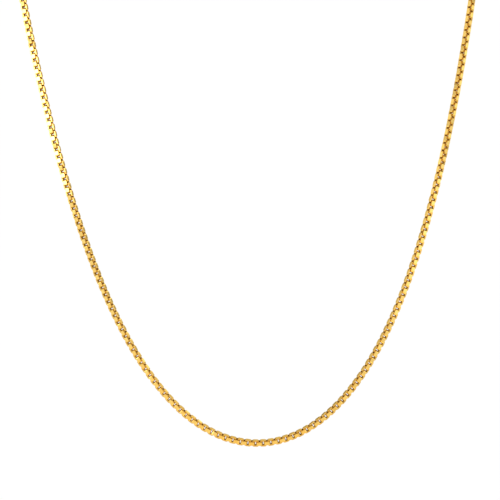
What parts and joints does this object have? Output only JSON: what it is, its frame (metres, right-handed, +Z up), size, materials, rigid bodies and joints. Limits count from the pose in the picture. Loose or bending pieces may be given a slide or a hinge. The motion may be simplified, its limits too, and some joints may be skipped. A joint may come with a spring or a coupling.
{
  "type": "box chain necklace",
  "caption": "Fine polished box chain worn round the neck: a closed loop hanging in a catenary, fastened by a plain barrel clasp at the nape.",
  "frame": {"origin": "middle of the neck opening, midway between the front drop and the nape, at the height where the drop leaves the neck", "axes": "+X to the right as seen from the front, -Y to the front, +Z up"},
  "size_m": [0.1178, 0.0704, 0.1549],
  "materials": {
    "links": "polished yellow gold",
    "clasp": "polished yellow gold"
  },
  "bodies": {
    "root": {"chain_left": "links", "chain_right": "links", "clasp": "clasp"}
  },
  "joints": []
}
